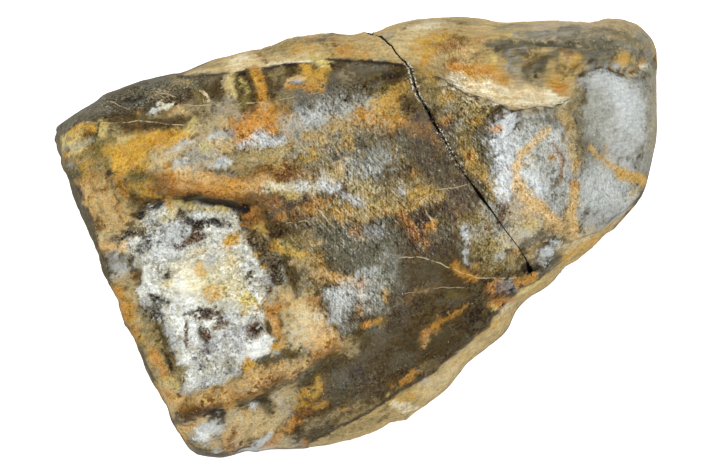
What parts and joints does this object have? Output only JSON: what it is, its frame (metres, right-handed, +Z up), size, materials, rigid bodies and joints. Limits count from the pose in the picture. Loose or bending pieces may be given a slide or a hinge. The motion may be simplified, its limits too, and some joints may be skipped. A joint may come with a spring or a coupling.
{
  "type": "fossil dinosaur tooth",
  "caption": "Broken crown of a large meat-eating dinosaur's tooth, turned to stone: a flattened, blunt-tipped wedge of dark enamel over tan dentine, lying on its side.",
  "frame": {"origin": "on the resting plane, under the middle of the crown's bounding box", "axes": "+X along the crown from the broken end to the worn tip, +Y towards the straighter edge, +Z up out of the cracked face"},
  "size_m": [0.0389, 0.0267, 0.0139],
  "materials": {
    "fossil": "dark brown glossy enamel with orange and cream mineral stains, over matt tan dentine"
  },
  "bodies": {
    "root": {"tooth": "fossil"}
  },
  "joints": []
}
